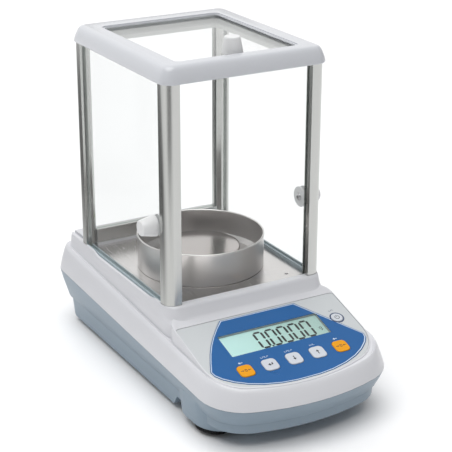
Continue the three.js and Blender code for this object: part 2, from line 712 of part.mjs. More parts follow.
// Knob, washer and screw stand along +Z from the outer face of a pane at height 0.
const knobSolid = () => turned([
  [0, 12], [BORE_R, 12], [BORE_R, GAP], [KNOB_R - 0.5, GAP], [KNOB_R, GAP + 0.6],
  [KNOB_TIP_R + 0.5, KNOB_LENGTH - 0.6], [KNOB_TIP_R - 0.5, KNOB_LENGTH], [0, KNOB_LENGTH],
], 0, 0, 28);
const washerSolid = () => turned([
  [BORE_R, -GLASS - GAP], [KNOB_R, -GLASS - GAP], [KNOB_R, -GLASS - GAP - 1.1],
  [KNOB_R - 0.5, -GLASS - GAP - 1.5], [BORE_R, -GLASS - GAP - 1.5], [BORE_R, -GLASS - GAP],
], 0, 0, 24);
const screwSolid = () => turned([
  [0, 11], [1.9, 11], [1.9, -GLASS - 2 * GAP - 1.5], [3.6, -GLASS - 2 * GAP - 1.5],
  [3.4, -GLASS - 2 * GAP - 2.6], [2.4, -GLASS - 2 * GAP - 3.1], [0, -GLASS - 2 * GAP - 3.1],
], 0, 0, 12);

function placeKnob(prefix, matrix) {
  put(`${prefix}_knob`, knobSolid(), finishes.knob, matrix);
  put(`${prefix}_washer`, washerSolid(), finishes.knob, matrix);
  put(`${prefix}_screw`, screwSolid(), finishes.screw, matrix);
}

for (const [side, name] of [[-1, 'left'], [1, 'right']]) {
  const x = side * DOOR_X;
  const hole = new THREE.CylinderGeometry(BORE_R, BORE_R, 20, 20);
  hole.rotateZ(Math.PI / 2);
  hole.translate(x, SIDE_KNOB_Y, SIDE_KNOB_Z);
  put(`${name}_door_glass`, cut(
    box(x - GLASS / 2, x + GLASS / 2, -41.6, 136, PANE_BOTTOM_Z, PANE_TOP_Z),
    fromGeometry(hole),
  ), finishes.glass);
  const matrix = new THREE.Matrix4().makeRotationY((side * Math.PI) / 2);
  matrix.setPosition(x + (side * GLASS) / 2, SIDE_KNOB_Y, SIDE_KNOB_Z);
  placeKnob(`${name}_door`, matrix);
}
put('top_door_glass', cut(
  box(-74.3, 74.3, -44.6, 139.5, TOP_PANE_Z, TOP_PANE_Z + GLASS),
  cylinder(0, TOP_KNOB_Y, 300, 340, BORE_R, 20),
), finishes.glass);
placeKnob('top_door', new THREE.Matrix4().makeTranslation(0, TOP_KNOB_Y, TOP_PANE_Z + GLASS));

// ---------------------------------------------------------------- ring, pan and carrier
const RING_FOOT_Z = STAGE_Z + GAP;
put('draft_ring', turned([
  [RING_R, RING_FOOT_Z], [RING_R, 127.6], [RING_R + 0.5, 128.3], [RING_R + 0.35, 129.1],
  [RING_R - 0.5, 129.5], [RING_R - 1.3, 129.1], [RING_R - 1.5, 128.3], [RING_R - 1.1, 127.4],
  [RING_R - 1.1, RING_FOOT_Z + 8.2], [RING_R - 2.4, RING_FOOT_Z + 5.3],
  [RING_R - 5, RING_FOOT_Z + 3.9], [45, RING_FOOT_Z + 3.3], [45, RING_FOOT_Z + 2.4],
  [RING_R - 4.6, RING_FOOT_Z + 2.9], [RING_R - 1.6, RING_FOOT_Z + 3.1],
  [RING_R - 1.1, RING_FOOT_Z], [RING_R, RING_FOOT_Z],
], 0, PAN_Y, 52), finishes.steel);
put('weighing_pan', turned([
  [0, 115.3], [38.4, 115.3], [39.6, 115], [PAN_R, 114.3], [PAN_R, 111.6], [39.2, 111.6],
  [39.2, 113.9], [8, 114], [7, 104.2], [4.2, 104.2], [3.6, 111.4], [0, 111.4],
], 0, PAN_Y, 44), finishes.steel);
put('pan_carrier', turned([
  [0, 110.8], [2.6, 110.8], [3.6, 103.4], [7.5, 102.4], [7.5, 99], [4.5, 97.5], [4.5, 84],
  [10, 84], [10, 80.1], [0, 80.1],
], 0, PAN_Y, 20), finishes.steel);

// ---------------------------------------------------------------- weighing cell
put('cell_base', join(
  box(-34, 34, -12, 112, 22, 30),
  box(-26, 26, 92, 110, 29, 78),
), finishes.aluminium);
put('cell_hanger', box(-16, 16, PAN_Y - 10, PAN_Y + 10, 40, 79.8), finishes.aluminium);
put('cell_guide_upper', box(-16, 16, PAN_Y + 10.3, 91.7, 72, 73.6), finishes.screw);
put('cell_guide_lower', box(-16, 16, PAN_Y + 10.3, 91.7, 44, 45.6), finishes.screw);
put('cell_lever', box(-5, 5, PAN_Y + 10.3, 91.7, 56, 62), finishes.aluminium);
put('magnet_pot', cylinder(0, -4 + GAP, 30.3, 58, 18, 32), finishes.dark);

// ---------------------------------------------------------------- electronics and sockets
put('main_board', box(-48, 48, -120, -56, 30, 31.6), finishes.board);
put('serial_port', cut(
  box(22.4, 53.6, 162, 180, PORT_Z - 6.2, PORT_Z + 6.2),
  box(26, 50, 172.5, 186, PORT_Z - 4.2, PORT_Z + 4.2),
), finishes.screw);
function powerInlet() {
  const ring = (radius, y0, y1) => {
    const geometry = new THREE.CylinderGeometry(radius, radius, y1 - y0, 28);
    geometry.translate(-38, (y0 + y1) / 2, PORT_Z);
    return fromGeometry(geometry);
  };
  return join(cut(ring(5.7, 162, 180), ring(3.9, 167, 186)), ring(1.1, 166, 178));
}
put('power_inlet', powerInlet(), finishes.dark);

// ---------------------------------------------------------------- bubble level
put('level_body', turned([
  [0, 93.5], [11, 93.5], [11, 100.4], [10.3, 101.2], [8.6, 101.2], [8.2, 96], [0, 96],
], 0, 156, 24), finishes.dark);
put('level_vial', turned([
  [0, 96.3], [7.8, 96.3], [7.8, 100.2], [6.6, 101], [3.4, 101.5], [0, 101.6],
], 0, 156, 20), finishes.glass);

// ---------------------------------------------------------------- feet
for (const [side, name] of [[-1, 'left'], [1, 'right']]) {
  const x = side * FOOT_X;
  const flutes = 30;
  const rim = [];
  for (let i = 0; i < 2 * flutes; i += 1) {
    const a = (Math.PI * i) / flutes;
    const r = i % 2 ? FOOT_R : FOOT_R - 0.9;
    rim.push([x + r * Math.cos(a), FOOT_Y + r * Math.sin(a)]);
  }
  put(`level_wheel_${name}`, join(
    extruded(rim, 3.6, WHEEL_TOP_Z),
    cylinder(x, FOOT_Y, WHEEL_TOP_Z - 0.4, 29.5, 3.9, 20),
  ), finishes.rubber);
  put(`level_pad_${name}`, cylinder(x, FOOT_Y, 0, 3.3, 15, 36), finishes.rubber);
  put(`rear_foot_${name}`, turned([
    [0, 0], [12.4, 0], [13.4, 1.2], [14, 7], [0, 7],
  ], side * REAR_FOOT_X, REAR_FOOT_Y, 32), finishes.rubber);
}

export default group;
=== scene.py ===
"""Analytical balance with a glass draft shield: finishes, printed marks and fine detail.

Everything is placed in the frame's own coordinates, in metres, front of the balance
towards -Y. Sizes below are in millimetres and are turned into metres by MM.
"""

import json
import math

import bmesh
import bpy
from mathutils import Euler, Matrix, Vector

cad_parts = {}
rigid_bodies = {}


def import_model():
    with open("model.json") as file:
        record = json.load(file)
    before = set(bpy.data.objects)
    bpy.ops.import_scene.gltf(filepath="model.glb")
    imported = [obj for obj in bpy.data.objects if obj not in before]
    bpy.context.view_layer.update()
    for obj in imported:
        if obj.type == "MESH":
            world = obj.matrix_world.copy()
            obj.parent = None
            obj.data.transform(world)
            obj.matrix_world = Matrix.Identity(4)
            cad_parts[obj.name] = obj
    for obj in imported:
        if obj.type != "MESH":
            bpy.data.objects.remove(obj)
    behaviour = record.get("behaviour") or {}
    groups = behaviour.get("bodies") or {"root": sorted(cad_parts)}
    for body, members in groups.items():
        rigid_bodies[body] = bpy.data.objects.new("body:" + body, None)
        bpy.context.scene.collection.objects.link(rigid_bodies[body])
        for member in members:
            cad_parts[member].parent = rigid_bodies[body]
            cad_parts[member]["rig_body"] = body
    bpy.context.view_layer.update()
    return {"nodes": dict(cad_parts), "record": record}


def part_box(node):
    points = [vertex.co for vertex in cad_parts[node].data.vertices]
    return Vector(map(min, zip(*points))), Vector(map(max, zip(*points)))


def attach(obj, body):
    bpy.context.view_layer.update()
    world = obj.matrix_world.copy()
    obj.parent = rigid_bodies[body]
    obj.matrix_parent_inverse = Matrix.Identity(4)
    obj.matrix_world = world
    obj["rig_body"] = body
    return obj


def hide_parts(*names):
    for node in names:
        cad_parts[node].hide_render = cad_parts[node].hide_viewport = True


MM = 0.001
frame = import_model()
record = frame["record"]
slot_of = {part["node"]: part["material_slot"] for part in record["subparts"]}
body_of = {node: o["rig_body"] for node, o in frame["nodes"].items()}

# ------------------------------------------------------------------ sizes
PANEL_TILT = math.radians(16.4)
PANEL_Y = -106.2
PANEL_Z = 75.3
OVERLAY_TOP = -0.33  # heights above the panel plane
LABEL_TOP = -0.25
PRINT = 0.05  # thickness of a printed mark
KEY_TOP = 0.55
LCD_FACE = -2.6
PAN_Y = 37.5
KEY_ROW_V = -35.5
KEY_PITCH = 25.7
POWER_KEY = (70.5, 1.5)
DOOR_X = 80.2
GLASS = 3.0
SIDE_KNOB = (-24.0, 172.0)
TOP_KNOB_Y = -24.4
LEVEL_Y = 156.0
WHEEL = (68.0, -115.0)


def panel_point(u, v, w):
    """A point of the keypad panel: u to the right, v up the slope, w out of it."""
    c, s = math.cos(PANEL_TILT), math.sin(PANEL_TILT)
    return Vector((u, PANEL_Y + v * c - w * s, PANEL_Z + v * s + w * c)) * MM


# ------------------------------------------------------------------ materials
NOISE_RANGE = (0.3, 0.7)  # where a noise texture's values mostly lie
RELIEF_DEPTH = 0.25  # height of a finish's relief, as a share of its grain
COAT_ROUGHNESS = 0.12
RING_LAY = 0.0012  # how finely the turned grain varies round its axis
GLOSS_FACING = 0.014  # share of the light that a pane's face mirrors straight on
GLOSS_EDGE_ON = 0.7  # share that is added when it is seen edge on
GLOSS_STEEPNESS = 5.0


def node(tree, kind, inputs=None, **settings):
    """Adds a shader node; an input is a value or another node's output socket."""
    made = tree.nodes.new(kind)
    for key, value in settings.items():
        setattr(made, key, value)
    for key, value in (inputs or {}).items():
        if isinstance(value, bpy.types.NodeSocket):
            tree.links.new(value, made.inputs[key])
        else:
            made.inputs[key].default_value = value
    return made


def new_material(name):
    """An empty material, with its node tree and its shader."""
    material = bpy.data.materials.new(name)
    material.use_nodes = True
    tree = material.node_tree
    return material, tree, tree.nodes["Principled BSDF"]


def around_axis(tree, place, centre, lay):
    """Coordinates that run round a vertical axis, so a stretched grain follows it."""
    moved = node(tree, "ShaderNodeVectorMath", {0: place, 1: centre}, operation="SUBTRACT")
    parts = node(tree, "ShaderNodeSeparateXYZ", {0: moved.outputs[0]})
    flat = node(tree, "ShaderNodeCombineXYZ", {0: parts.outputs[0], 1: parts.outputs[1]})
    radius = node(tree, "ShaderNodeVectorMath", {0: flat.outputs[0]}, operation="LENGTH")
    angle = node(
        tree, "ShaderNodeMath", {0: parts.outputs[1], 1: parts.outputs[0]}, operation="ARCTAN2"
    )
    short = node(tree, "ShaderNodeMath", {0: angle.outputs[0], 1: lay}, operation="MULTIPLY")
    around = {0: radius.outputs["Value"], 1: short.outputs[0], 2: parts.outputs[2]}
    return node(tree, "ShaderNodeCombineXYZ", around).outputs[0]


def surface(
    name,
    colour,
    roughness,
    metal=0.0,
    drift=0.03,
    drift_size=0.05,
    wear=0.05,
    grain=0.0007,
    relief=0.12,
    stretch=(1, 1, 1),
    centre=None,
    coat=0.0,
    specular=0.5,
):
    """A procedural finish: slow colour drift, uneven gloss and a fine relief."""
    material, tree, shader = new_material(name)
    place = node(tree, "ShaderNodeTexCoord").outputs["Object"]
    if centre:
        lined = around_axis(tree, place, centre, RING_LAY)
    else:
        scaled = node(tree, "ShaderNodeMapping", {"Vector": place, "Scale": stretch})
        lined = scaled.outputs[0]
    broad = node(
        tree, "ShaderNodeTexNoise", {"Vector": place, "Scale": 1 / drift_size, "Detail": 3.0}
    )
    fine = node(tree, "ShaderNodeTexNoise", {"Vector": lined, "Scale": 1 / grain, "Detail": 4.0})
    shade = node(tree, "ShaderNodeMix", {"Factor": broad.outputs[0]}, data_type="RGBA")
    dark = [c * (1 - drift) for c in colour]
    light = [min(1.0, c * (1 + drift)) for c in colour]
    shade.inputs["A"].default_value = (*dark, 1)
    shade.inputs["B"].default_value = (*light, 1)
    colour_out = next(s for s in shade.outputs if s.type == "RGBA")
    tree.links.new(colour_out, shader.inputs["Base Color"])
    gloss = node(
        tree,
        "ShaderNodeMapRange",
        {
            "Value": fine.outputs[0],
            "From Min": NOISE_RANGE[0],
            "From Max": NOISE_RANGE[1],
            "To Min": max(0.02, roughness - wear),
            "To Max": min(1.0, roughness + wear),
        },
    )
    tree.links.new(gloss.outputs[0], shader.inputs["Roughness"])
    bump = node(
        tree,
        "ShaderNodeBump",
        {"Height": fine.outputs[0], "Strength": relief, "Distance": grain * RELIEF_DEPTH},
    )
    tree.links.new(bump.outputs[0], shader.inputs["Normal"])
    shader.inputs["Metallic"].default_value = metal
    shader.inputs["Specular IOR Level"].default_value = specular
    if coat:
        shader.inputs["Coat Weight"].default_value = coat
        shader.inputs["Coat Roughness"].default_value = COAT_ROUGHNESS
    return material


def glass_material(name, tint, body_share, roughness):
    """Thin glass: what is behind shows unbent, with the gloss of both faces over it."""
    material, tree, shader = new_material(name)
    tree.nodes.remove(shader)
    place = node(tree, "ShaderNodeTexCoord").outputs["Object"]
    smear = node(tree, "ShaderNodeTexNoise", {"Vector": place, "Scale": 14.0, "Detail": 3.0})
    gloss_amount = node(
        tree,
        "ShaderNodeMapRange",
        {
            "Value": smear.outputs[0],
            "From Min": NOISE_RANGE[0],
            "From Max": NOISE_RANGE[1],
            "To Min": roughness * 0.6,
            "To Max": roughness * 1.6,
        },
    )
    clear = node(tree, "ShaderNodeBsdfTransparent", {"Color": (*tint, 1)})
    body = node(tree, "ShaderNodeBsdfDiffuse", {"Color": (*[c * 0.8 for c in tint], 1)})
    inner = node(
        tree, "ShaderNodeMixShader", {0: body_share, 1: clear.outputs[0], 2: body.outputs[0]}
    )
    mirror = node(
        tree,
        "ShaderNodeBsdfAnisotropic",
        {"Color": (1, 1, 1, 1), "Roughness": gloss_amount.outputs[0]},
    )
    facing = node(tree, "ShaderNodeLayerWeight", {"Blend": 0.5}).outputs["Facing"]
    steep = node(tree, "ShaderNodeMath", {0: facing, 1: GLOSS_STEEPNESS}, operation="POWER")
    share = node(
        tree,
        "ShaderNodeMath",
        {0: steep.outputs[0], 1: GLOSS_EDGE_ON, 2: GLOSS_FACING},
        operation="MULTIPLY_ADD",
    )
    mixed = node(
        tree,
        "ShaderNodeMixShader",
        {0: share.outputs[0], 1: inner.outputs[0], 2: mirror.outputs[0]},
    )
    output = next(n for n in tree.nodes if n.type == "OUTPUT_MATERIAL")
    tree.links.new(mixed.outputs[0], output.inputs["Surface"])
    return material


PAN_CENTRE = (0.0, PAN_Y * MM, 0.0)
materials = {
    "shell_plastic": surface(
        "shell_plastic", (0.655, 0.66, 0.69), 0.33, drift=0.012, relief=0.06, coat=0.2
    ),
    "base_plastic": surface(
        "base_plastic", (0.235, 0.305, 0.37), 0.40, drift=0.03, relief=0.10, coat=0.15
    ),
    "cap_plastic": surface(
        "cap_plastic", (0.60, 0.615, 0.65), 0.24, drift=0.012, relief=0.05, coat=0.35
    ),
    "frame_plastic": surface("frame_plastic", (0.62, 0.63, 0.615), 0.40, drift=0.04),
    "track_plastic": surface("track_plastic", (0.35, 0.42, 0.46), 0.46, drift=0.04),
    "knob_plastic": surface("knob_plastic", (0.78, 0.785, 0.79), 0.36, drift=0.015, coat=0.2),
    "overlay_film": surface(
        "overlay_film", (0.56, 0.585, 0.60), 0.46, drift=0.02, grain=0.0005, relief=0.1
    ),
    "label_film": surface(
        "label_film", (0.016, 0.112, 0.325), 0.40, drift=0.05, grain=0.0005, relief=0.08,
        specular=0.3,
    ),
    "key_orange": surface(
        "key_orange", (0.80, 0.335, 0.006), 0.5, drift=0.03, grain=0.0004, specular=0.25
    ),
    "key_grey": surface("key_grey", (0.60, 0.63, 0.68), 0.5, drift=0.02, grain=0.0004),
    "circuit_board": surface("circuit_board", (0.015, 0.11, 0.045), 0.45, drift=0.2),
    "stainless": surface(
        "stainless", (0.74, 0.715, 0.705), 0.25, 1.0, 0.03, wear=0.03, grain=0.0006,
        relief=0.02, stretch=(1, 0.03, 1),
    ),
    "turned_stainless": surface(
        "turned_stainless", (0.70, 0.68, 0.67), 0.31, 1.0, 0.03, wear=0.03, grain=0.0005,
        relief=0.025, centre=PAN_CENTRE,
    ),
    "pan_stainless": surface(
        "pan_stainless", (0.52, 0.485, 0.47), 0.15, 1.0, 0.04, wear=0.02, grain=0.0005,
        relief=0.008, stretch=(0.03, 1, 1),
    ),
    "post_aluminium": surface(
        "post_aluminium", (0.55, 0.555, 0.54), 0.24, 1.0, 0.02, wear=0.03, grain=0.0006,
        relief=0.02, stretch=(1, 1, 0.015),
    ),
    "cell_aluminium": surface("cell_aluminium", (0.72, 0.73, 0.74), 0.38, 1.0, 0.03),
    "bright_steel": surface("bright_steel", (0.62, 0.62, 0.63), 0.26, 1.0, 0.04),
    "magnet_iron": surface("magnet_iron", (0.16, 0.16, 0.17), 0.4, 0.8, 0.08),
    "dark_plastic": surface("dark_plastic", (0.022, 0.024, 0.027), 0.48, drift=0.1),
    "wheel_plastic": surface(
        "wheel_plastic", (0.008, 0.008, 0.009), 0.55, drift=0.12, specular=0.25
    ),
    "foot_rubber": surface(
        "foot_rubber", (0.014, 0.014, 0.015), 0.85, drift=0.15, grain=0.0009, relief=0.4
    ),
    "clear_glass": glass_material("clear_glass", (0.994, 0.998, 0.997), 0.004, 0.02),
    "glass_edge": glass_material("glass_edge", (0.80, 0.85, 0.84), 0.25, 0.12),
    # Dark print on the keys and the vial, which the screw heads also use as painted shade.
    "dark_print_and_shade": surface("dark_print_and_shade", (0.018, 0.022, 0.026), 0.5, drift=0.1),
    "mark_navy": surface("mark_navy", (0.03, 0.062, 0.155), 0.45, drift=0.06),
    "mark_pale": surface("mark_pale", (0.60, 0.70, 0.82), 0.5, drift=0.03),
    "segment_ink": surface("segment_ink", (0.008, 0.010, 0.010), 0.4, drift=0.1),
    "level_liquid": surface("level_liquid", (0.42, 0.60, 0.10), 0.08, drift=0.05, relief=0.02),
    "level_bubble": surface("level_bubble", (0.70, 0.84, 0.40), 0.1, drift=0.03, relief=0.02),
}


LCD_HALF_W = 54
# The ramp from the lighter left to the darker, greener right of the display is painted light and
# shade.
LCD_LEFT = (0.56, 0.84, 0.80, 1)
LCD_MIDDLE = (0.52, 0.78, 0.74, 1)
LCD_RIGHT_SHADED = (0.40, 0.58, 0.53, 1)


def display_material():
    """Reflective LCD glass: pale aqua, with painted shade that makes it a little darker and greener
    towards the right.
    """
    material, tree, shader = new_material("display_face")
    place = node(tree, "ShaderNodeTexCoord").outputs["Object"]
    parts = node(tree, "ShaderNodeSeparateXYZ", {0: place})
    span = node(
        tree,
        "ShaderNodeMapRange",
        {"Value": parts.outputs[0], "From Min": -LCD_HALF_W * MM, "From Max": LCD_HALF_W * MM},
    )
    cloud = node(tree, "ShaderNodeTexNoise", {"Vector": place, "Scale": 26.0, "Detail": 2.0})
    blur = node(
        tree, "ShaderNodeMath", {0: cloud.outputs[0], 1: 0.16, 2: span.outputs[0]},
        operation="MULTIPLY_ADD",
    )
    ramp = node(tree, "ShaderNodeValToRGB", {"Fac": blur.outputs[0]})
    ramp.color_ramp.elements[0].color = LCD_LEFT
    ramp.color_ramp.elements[1].color = LCD_RIGHT_SHADED
    middle = ramp.color_ramp.elements.new(0.3)
    middle.color = LCD_MIDDLE
    tree.links.new(ramp.outputs[0], shader.inputs["Base Color"])
    film = node(tree, "ShaderNodeTexNoise", {"Vector": place, "Scale": 1800.0})
    bump = node(
        tree, "ShaderNodeBump", {"Height": film.outputs[0], "Strength": 0.06, "Distance": 0.0002}
    )
    tree.links.new(bump.outputs[0], shader.inputs["Normal"])
    shader.inputs["Roughness"].default_value = 0.35
    return material


materials["display_face"] = display_material()


# ------------------------------------------------------------------ mesh helpers
WELD = 2e-6  # points closer than this, in metres, are one
FLAT = 0.2  # faces that meet at less than this, in degrees, are one


def add_piece(name, mesh, finish, body, slot=None, stands_for=()):
    """Links a mesh as a named piece that rides on a CAD body."""
    for key in [finish] if isinstance(finish, str) else finish:
        mesh.materials.append(materials[key])
    piece = bpy.data.objects.new(name, mesh)
    bpy.context.scene.collection.objects.link(piece)
    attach(piece, body)
    if stands_for:
        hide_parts(*stands_for)
    return piece


def smooth(piece, angle=32):
    """Smooth shading, with edges sharper than the angle kept crisp."""
    mesh = piece.data
    shape = bmesh.new()
    shape.from_mesh(mesh)
    limit = math.radians(angle)
    for face in shape.faces:
        face.smooth = True
    for edge in shape.edges:
        edge.smooth = len(edge.link_faces) == 2 and edge.calc_face_angle(0.0) < limit
    shape.to_mesh(mesh)
    shape.free()
    return piece


def soften(piece, width, segments=2, angle=34):
    """Rounds every edge sharper than the angle."""
    bevel = piece.modifiers.new("rounded_edges", "BEVEL")
    bevel.width = width * MM
    bevel.segments = segments
    bevel.limit_method = "ANGLE"
    bevel.angle_limit = math.radians(angle)
    bevel.harden_normals = True
    bevel.use_clamp_overlap = True
    return piece


def skin(name, cad_node, finish=None, width=0.4, segments=2, angle=34, pick=None):
    """A clean copy of a CAD node's shape, joined up, with its edges rounded."""
    source = frame["nodes"][cad_node].data
    shape = bmesh.new()
    shape.from_mesh(source)
    bmesh.ops.remove_doubles(shape, verts=shape.verts, dist=WELD)
    bmesh.ops.dissolve_limit(
        shape, angle_limit=math.radians(FLAT), verts=shape.verts, edges=shape.edges
    )
    bmesh.ops.recalc_face_normals(shape, faces=shape.faces)
    if pick:
        for face in shape.faces:
            face.material_index = pick(face.normal)
    mesh = bpy.data.meshes.new(name)
    shape.to_mesh(mesh)
    shape.free()
    slot = slot_of[cad_node]
    piece = add_piece(name, mesh, finish or slot, body_of[cad_node], slot, [cad_node])
    smooth(piece, angle)
    if width:
        soften(piece, width, segments, angle)
    return piece


def mesh_from(name, points, faces):
    """A mesh with its faces turned outwards."""
    mesh = bpy.data.meshes.new(name)
    mesh.from_pydata([tuple(p) for p in points], [], faces)
    mesh.validate()
    shape = bmesh.new()
    shape.from_mesh(mesh)
    bmesh.ops.recalc_face_normals(shape, faces=shape.faces)
    shape.to_mesh(mesh)
    shape.free()
    return mesh


def lathe(name, profile, finish, body, matrix=None, segments=96, angle=32, **extra):
    """A turned piece. Profile points are (radius, height) in mm round local Z."""
    points, faces, rows = [], [], []
    for radius, height in profile:
        if radius < 1e-6:
            rows.append([len(points)])
            points.append(Vector((0, 0, height)) * MM)
            continue
        start = len(points)
        for i in range(segments):
            a = 2 * math.pi * i / segments
            points.append(Vector((radius * math.cos(a), radius * math.sin(a), height)) * MM)
        rows.append(list(range(start, start + segments)))
    if profile[0] == profile[-1]:
        rows[-1] = rows[0]
    for low, high in zip(rows, rows[1:]):
        for i in range(segments):
            j = (i + 1) % segments
            if len(low) == 1 and len(high) == 1:
                break
            if len(low) == 1:
                faces.append((low[0], high[j], high[i]))
            elif len(high) == 1:
                faces.append((low[i], low[j], high[0]))
            else:
                faces.append((low[i], low[j], high[j], high[i]))
    used = sorted({i for f in faces for i in f})
    index = {old: new for new, old in enumerate(used)}
    faces = [tuple(index[i] for i in f) for f in faces]
    matrix = matrix or Matrix.Identity(4)
    points = [matrix @ points[i] for i in used]
    piece = add_piece(name, mesh_from(name, points, faces), finish, body, **extra)
    return smooth(piece, angle)


def plates(name, outlines, low, high, finish, body, place=panel_point, **extra):
    """Thin solid plates cut to outlines of (u, v), from height low to high."""
    points, faces = [], []
    for outline in outlines:
        area = 0.0
        for (u0, v0), (u1, v1) in zip(outline, outline[1:] + outline[:1]):
            area += u0 * v1 - u1 * v0
        ring = outline if area > 0 else outline[::-1]
        start, n = len(points), len(ring)
        points += [place(u, v, low) for u, v in ring]
        points += [place(u, v, high) for u, v in ring]
        faces.append([start + i for i in range(n)][::-1])
        faces.append([start + n + i for i in range(n)])
        for i in range(n):
            j = (i + 1) % n
            faces.append([start + i, start + j, start + n + j, start + n + i])
    return add_piece(name, mesh_from(name, points, faces), finish, body, **extra)


def band(name, outer, inner, low, high, finish, body, place=panel_point, **extra):
    """A flat closed band between two outlines with the same number of points."""
    n = len(outer)
    rings = [(outer, low), (outer, high), (inner, high), (inner, low)]
    points = [place(u, v, w) for ring, w in rings for u, v in ring]
    faces = []
    for r in range(4):
        for i in range(n):
            j = (i + 1) % n
            s = (r + 1) % 4
            faces.append([r * n + i, r * n + j, s * n + j, s * n + i])
    return add_piece(name, mesh_from(name, points, faces), finish, body, **extra)


def circle(u, v, radius, steps=48):
    """A round outline."""
    turn = 2 * math.pi / steps
    return [(u + radius * math.cos(turn * i), v + radius * math.sin(turn * i)) for i in range(steps)]


def stroke(u0, v0, u1, v1, width):
    """A straight stroke as a thin rectangle."""
    length = math.hypot(u1 - u0, v1 - v0)
    du, dv = (v1 - v0) / length * width / 2, (u0 - u1) / length * width / 2
    return [(u0 + du, v0 + dv), (u1 + du, v1 + dv), (u1 - du, v1 - dv), (u0 - du, v0 - dv)]


def arrow(u, v, angle, length, head=1.3, width=0.5):
    """A small arrow whose middle is at (u, v) and which points along the angle."""
    c, s = math.cos(math.radians(angle)), math.sin(math.radians(angle))

    def turn(a, b):
        return (u + a * c - b * s, v + a * s + b * c)

    half = length / 2
    w = width / 2
    neck = half - head
    return [
        turn(-half, -w), turn(neck, -w), turn(neck, -head * 0.75), turn(half, 0),
        turn(neck, head * 0.75), turn(neck, w), turn(-half, w),
    ]


# ------------------------------------------------------------------ moulded shells
skin("upper_shell", "upper_housing", width=0.5, segments=3, angle=30)
skin("lower_shell", "lower_housing", width=0.5, segments=3, angle=30)
skin("roof_cap", "top_cap", width=0.5, segments=3, angle=30)
skin("roof_frame", "top_frame", width=0.3)
skin("panel_film", "control_overlay", width=0.08, segments=1)
skin("keypad_film", "keypad_label", width=0.1, segments=2)
skin("display_block", "lcd_module", width=0.15)
skin("stage_sheet", "stage_plate", width=0.25)
skin("rear_sill", "rear_rail", width=0.3)
for side in ("left", "right"):
    skin(f"door_rail_{side}", f"{side}_door_track", width=0.25)
    skin(f"front_post_{side}", f"post_front_{side}", width=0.25, angle=20)
    skin(f"rear_post_{side}", f"post_rear_{side}", width=0.25, angle=20)
    skin(f"rear_pad_{side}", f"rear_foot_{side}", width=0.4)
INNER_PARTS = (
    "keypad_board", "main_board", "cell_base", "cell_hanger", "cell_guide_upper",
    "cell_guide_lower", "cell_lever", "magnet_pot", "pan_carrier",
)
for part in INNER_PARTS:
    skin(f"{part}_body", part, width=0.2)
skin("serial_shell", "serial_port", width=0.25)
skin("power_jack", "power_inlet", width=0.2)
skin("level_cup", "level_body", width=0.3)

# ------------------------------------------------------------------ glass
PANES = {  # the axis that each pane faces along
    "front_glass": 1,
    "rear_glass": 1,
    "left_door_glass": 0,
    "right_door_glass": 0,
    "top_door_glass": 2,
}
for cad_node, axis in PANES.items():
    skin(
        f"{cad_node}_pane", cad_node, ["clear_glass", "glass_edge"], width=0.35, segments=1,
        pick=lambda normal, axis=axis: 0 if abs(normal[axis]) > 0.9 else 1,
    )
skin(
    "display_window", "lcd_window", ["clear_glass", "glass_edge"], width=0.08, segments=1,
    pick=lambda normal: 0 if normal[2] ** 2 > 0.5 else 1,
)

# ------------------------------------------------------------------ keys and marks
KEYS = {
    "key_tare_left": -2 * KEY_PITCH,
    "key_enter": -KEY_PITCH,
    "key_down": 0.0,
    "key_up": KEY_PITCH,
    "key_tare_right": 2 * KEY_PITCH,
}
for key in [*KEYS, "key_power"]:
    skin(f"{key}_cap", key, width=0.35, segments=3, angle=25)


def zero_between_arrows(u, v):
    """The zero-setting sign: an arrow on each side pointing at a nought."""
    half_w, half_h, bar_v, line = 0.9, 1.2, 1.25, 0.5
    away, length = 3.7, 3.4
    nought = [
        stroke(u - half_w, v - half_h, u - half_w, v + half_h, line),
        stroke(u + half_w, v - half_h, u + half_w, v + half_h, line),
        stroke(u - half_w, v + bar_v, u + half_w, v + bar_v, line),
        stroke(u - half_w, v - bar_v, u + half_w, v - bar_v, line),
    ]
    return [arrow(u - away, v, 0, length), arrow(u + away, v, 180, length), *nought]


def enter_sign(u, v):
    """An arrow to the left whose tail turns up."""
    tail_u, line = 2.2, 0.95
    return [
        arrow(u - 0.3, v - 0.4, 180, 4.8, 2.3, line),
        stroke(u + tail_u, v - 0.87, u + tail_u, v + 1.9, line),
    ]


def power_sign(u, v):
    """A short upright in the gap of a ring of short strokes."""
    radius, start, step, count = 2.3, -2.52, 0.42, 12
    middle = v - 0.2
    strokes = [stroke(u, v + 0.4, u, v + 3.0, 0.6)]
    for i in range(count):
        a = start + step * i
        b = a + step
        strokes.append(stroke(
            u + radius * math.sin(a), middle - radius * math.cos(a),
            u + radius * math.sin(b), middle - radius * math.cos(b), 0.55,
        ))
    return strokes


STEP_ARROW = (5.4, 2.2, 0.95)  # length, head and line of the arrows on the two middle keys
key_marks = {
    "key_tare_left": zero_between_arrows(KEYS["key_tare_left"], KEY_ROW_V),
    "key_tare_right": zero_between_arrows(KEYS["key_tare_right"], KEY_ROW_V),
    "key_down": [arrow(KEYS["key_down"], KEY_ROW_V, -90, *STEP_ARROW)],
    "key_up": [arrow(KEYS["key_up"], KEY_ROW_V, 90, *STEP_ARROW)],
    "key_enter": enter_sign(KEYS["key_enter"], KEY_ROW_V),
    "key_power": power_sign(*POWER_KEY),
}
for key, outlines in key_marks.items():
    plates(f"{key}_mark", outlines, KEY_TOP, KEY_TOP + PRINT, "dark_print_and_shade", body_of[key])


def little_sign(u, v, width):
    """A pale printed sign above a key: a few short upright and level strokes."""
    half_h, line = 0.8, 0.35
    count = max(2, round(width / 2.2))
    step = width / count
    strokes = []
    for i in range(count):
        left = u - width / 2 + step * (i + 0.15)
        right = left + step * 0.7
        strokes.append(stroke(left, v - half_h, left, v + half_h, line))
        height = 0.65 if i % 2 else -0.65
        strokes.append(stroke(left, v + height, right, v + height, line))
        if i % 3 == 1:
            strokes.append(stroke(right, v - half_h, right, v + half_h, line))
    return strokes


